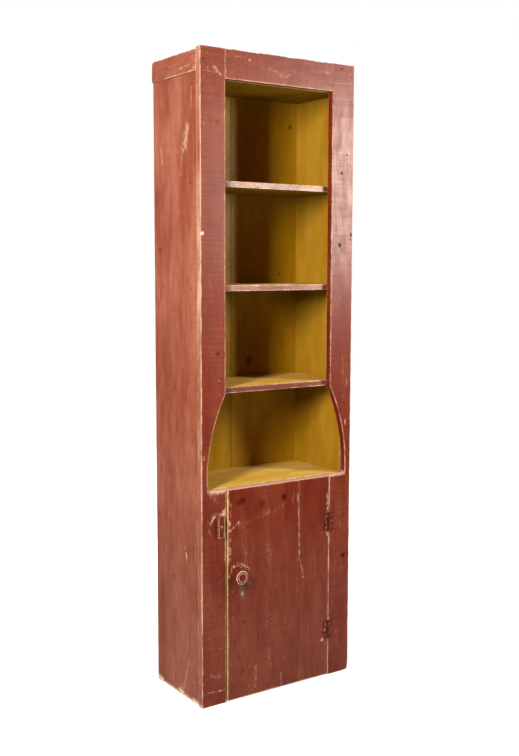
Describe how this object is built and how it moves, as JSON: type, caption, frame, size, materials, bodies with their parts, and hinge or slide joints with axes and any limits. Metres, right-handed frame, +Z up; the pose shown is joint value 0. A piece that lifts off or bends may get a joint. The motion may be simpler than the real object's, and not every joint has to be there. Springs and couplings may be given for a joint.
{
  "type": "chimney cupboard",
  "caption": "Tall narrow free-standing painted wood cupboard: open shelves and a counter above a low cupboard whose board door hangs on butt hinges and is held by a wooden turn button.",
  "frame": {"origin": "on the floor, under the middle of the whole cupboard's box, knob included", "axes": "+Z up, +X to the right seen from the front, +Y towards the back; the face frame and the door face -Y"},
  "size_m": [0.549, 0.31, 1.905],
  "materials": {
    "red_paint": "old red paint on board, satin, worn through at the edges",
    "mustard_paint": "old mustard paint on board, satin",
    "bare_pine": "bare aged pine, dry and dull",
    "painted_iron": "iron under old red paint",
    "iron_fasteners": "dull iron nails and screws"
  },
  "bodies": {
    "carcass": {"left_side": "red_paint", "right_side": "red_paint", "back_board_left": "mustard_paint", "back_board_right": "mustard_paint", "left_stile": "red_paint", "right_stile": "red_paint", "top_rail": "red_paint", "left_top_strip": "red_paint", "right_top_strip": "red_paint", "top_board": "mustard_paint", "upper_shelf": "mustard_paint", "middle_shelf": "mustard_paint", "lower_shelf": "mustard_paint", "counter_shelf": "mustard_paint", "inner_shelf": "bare_pine", "floor_board": "bare_pine", "button_screw": "iron_fasteners", "upper_frame_leaf": "painted_iron", "upper_hinge_pin": "painted_iron", "lower_frame_leaf": "painted_iron", "lower_hinge_pin": "painted_iron", "frame_leaf_screws": "iron_fasteners", "frame_nails": "iron_fasteners", "shelf_nails": "iron_fasteners", "back_nails": "iron_fasteners", "strip_nails": "iron_fasteners"},
    "door": {"door_board_wide": "red_paint", "door_board_narrow": "red_paint", "upper_batten": "bare_pine", "lower_batten": "bare_pine", "door_knob": "red_paint", "knob_screw": "iron_fasteners", "upper_door_leaf": "painted_iron", "lower_door_leaf": "painted_iron", "door_leaf_screws": "iron_fasteners", "batten_nails": "iron_fasteners"},
    "button": {"turn_button": "red_paint"}
  },
  "joints": [
    {"name": "door_hinge", "type": "hinge", "parent": "carcass", "child": "door", "pos_m": [0.1905, -0.1256, 0.332], "axis": [0, 0, 1], "range_deg": [0, 170]},
    {"name": "button_pivot", "type": "hinge", "parent": "carcass", "child": "button", "pos_m": [-0.2125, -0.1274, 0.542], "axis": [0, 1, 0], "continuous": true}
  ]
}
